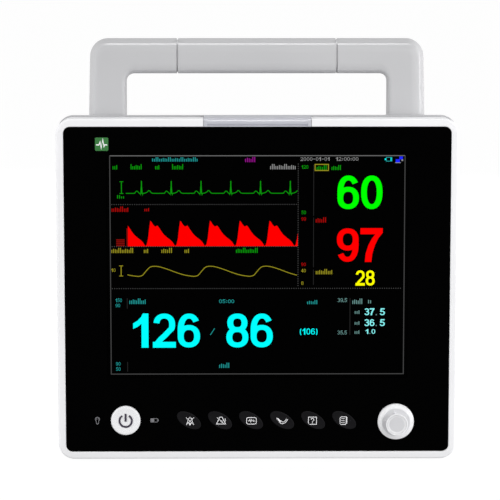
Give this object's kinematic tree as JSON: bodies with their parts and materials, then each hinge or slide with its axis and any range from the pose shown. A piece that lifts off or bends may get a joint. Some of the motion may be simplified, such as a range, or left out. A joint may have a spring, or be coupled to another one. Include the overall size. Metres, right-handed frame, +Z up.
{
  "type": "patient monitor",
  "caption": "Bedside patient monitor with a flat display, backlit soft keys, a push-and-turn knob, side patient sockets, a rear mains inlet and a fixed carrying handle.",
  "frame": {"origin": "on the table, under the middle of the whole object's box", "axes": "+Z up; the display faces -Y; +X is to the right of a person who looks at the display"},
  "size_m": [0.336, 0.162, 0.3566],
  "materials": {
    "white_plastic": "fine satin moulded ABS",
    "grey_plastic": "satin moulded ABS",
    "black_panel": "gloss acrylic, printed black on its back",
    "display_window": "clear hard-coated acrylic over the display",
    "alarm_diffuser": "milky translucent polycarbonate",
    "key_rubber": "soft black keycap with a white symbol",
    "grey_rubber": "dull grey rubber",
    "dark_plastic": "black engineering plastic",
    "blue_plastic": "blue socket body",
    "green_plastic": "green socket body",
    "steel": "zinc-plated or stainless steel",
    "brass": "turned brass",
    "circuit_board": "green solder mask",
    "clear_hose": "pale flexible tube or film",
    "battery_wrap": "dark blue shrink wrap"
  },
  "bodies": {
    "casing": {"front_bezel": "white_plastic", "front_panel": "black_panel", "display_window": "display_window", "lcd_module": "dark_plastic", "lcd_bracket": "steel", "alarm_lens": "alarm_diffuser", "alarm_led_board": "circuit_board", "keypad_mat": "grey_rubber", "key_board": "circuit_board", "encoder_body": "dark_plastic", "rear_casing": "grey_plastic", "casing_screw_1": "steel", "casing_screw_2": "steel", "casing_screw_3": "steel", "casing_screw_4": "steel", "foot_1": "grey_rubber", "foot_2": "grey_rubber", "foot_3": "grey_rubber", "foot_4": "grey_rubber", "handle_arm_left": "grey_plastic", "handle_arm_right": "grey_plastic", "handle_grip": "grey_plastic", "handle_core_rod": "steel", "handle_screw_left": "steel", "handle_screw_right": "steel", "patient_port_panel": "white_plastic", "nibp_port": "steel", "spo2_socket": "blue_plastic", "ecg_socket": "green_plastic", "temp_socket_1": "dark_plastic", "temp_socket_2": "dark_plastic", "door_hinge_pin": "steel", "battery_bay": "dark_plastic", "battery_pack": "battery_wrap", "rear_port_plate": "steel", "ac_inlet": "dark_plastic", "ground_post": "brass", "network_port": "steel", "chassis_plate": "steel", "main_board": "circuit_board", "power_supply": "circuit_board", "parameter_board": "circuit_board", "nibp_pump": "dark_plastic", "nibp_hose": "clear_hose", "lcd_cable": "clear_hose", "speaker": "dark_plastic"},
    "power_switch": {"power_button": "white_plastic"},
    "key_1": {"alarm_silence_key": "key_rubber"},
    "key_2": {"alarm_pause_key": "key_rubber"},
    "key_3": {"freeze_key": "key_rubber"},
    "key_4": {"nibp_start_key": "key_rubber"},
    "key_5": {"help_key": "key_rubber"},
    "key_6": {"record_key": "key_rubber"},
    "push_switch": {"encoder_plunger": "dark_plastic"},
    "knob": {"encoder_shaft": "steel", "control_knob": "white_plastic"},
    "door": {"battery_door": "grey_plastic"},
    "fuse_carrier": {"fuse_drawer": "dark_plastic", "mains_fuse_1": "steel", "mains_fuse_2": "steel"}
  },
  "joints": [
    {"name": "power_button_push", "type": "slide", "parent": "casing", "child": "power_switch", "axis": [0, 1, 0], "range_m": [0, 0.001], "stiffness_N_per_m": 1500},
    {"name": "alarm_silence_push", "type": "slide", "parent": "casing", "child": "key_1", "axis": [0, 1, 0], "range_m": [0, 0.0008], "stiffness_N_per_m": 1500},
    {"name": "alarm_pause_push", "type": "slide", "parent": "casing", "child": "key_2", "axis": [0, 1, 0], "range_m": [0, 0.0008], "stiffness_N_per_m": 1500},
    {"name": "freeze_push", "type": "slide", "parent": "casing", "child": "key_3", "axis": [0, 1, 0], "range_m": [0, 0.0008], "stiffness_N_per_m": 1500},
    {"name": "nibp_start_push", "type": "slide", "parent": "casing", "child": "key_4", "axis": [0, 1, 0], "range_m": [0, 0.0008], "stiffness_N_per_m": 1500},
    {"name": "help_push", "type": "slide", "parent": "casing", "child": "key_5", "axis": [0, 1, 0], "range_m": [0, 0.0008], "stiffness_N_per_m": 1500},
    {"name": "record_push", "type": "slide", "parent": "casing", "child": "key_6", "axis": [0, 1, 0], "range_m": [0, 0.0008], "stiffness_N_per_m": 1500},
    {"name": "knob_push", "type": "slide", "parent": "casing", "child": "push_switch", "axis": [0, 1, 0], "range_m": [0, 0.0006], "stiffness_N_per_m": 4000},
    {"name": "knob_turn", "type": "hinge", "parent": "push_switch", "child": "knob", "pos_m": [0.1167, -0.07, 0.0359], "axis": [0, 1, 0], "continuous": true},
    {"name": "battery_door_hinge", "type": "hinge", "parent": "casing", "child": "door", "pos_m": [0.1564, 0.0716, 0.087], "axis": [0, 0, 1], "range_deg": [0, 100]},
    {"name": "fuse_drawer_slide", "type": "slide", "parent": "casing", "child": "fuse_carrier", "axis": [0, 1, 0], "range_m": [0, 0.018]}
  ]
}
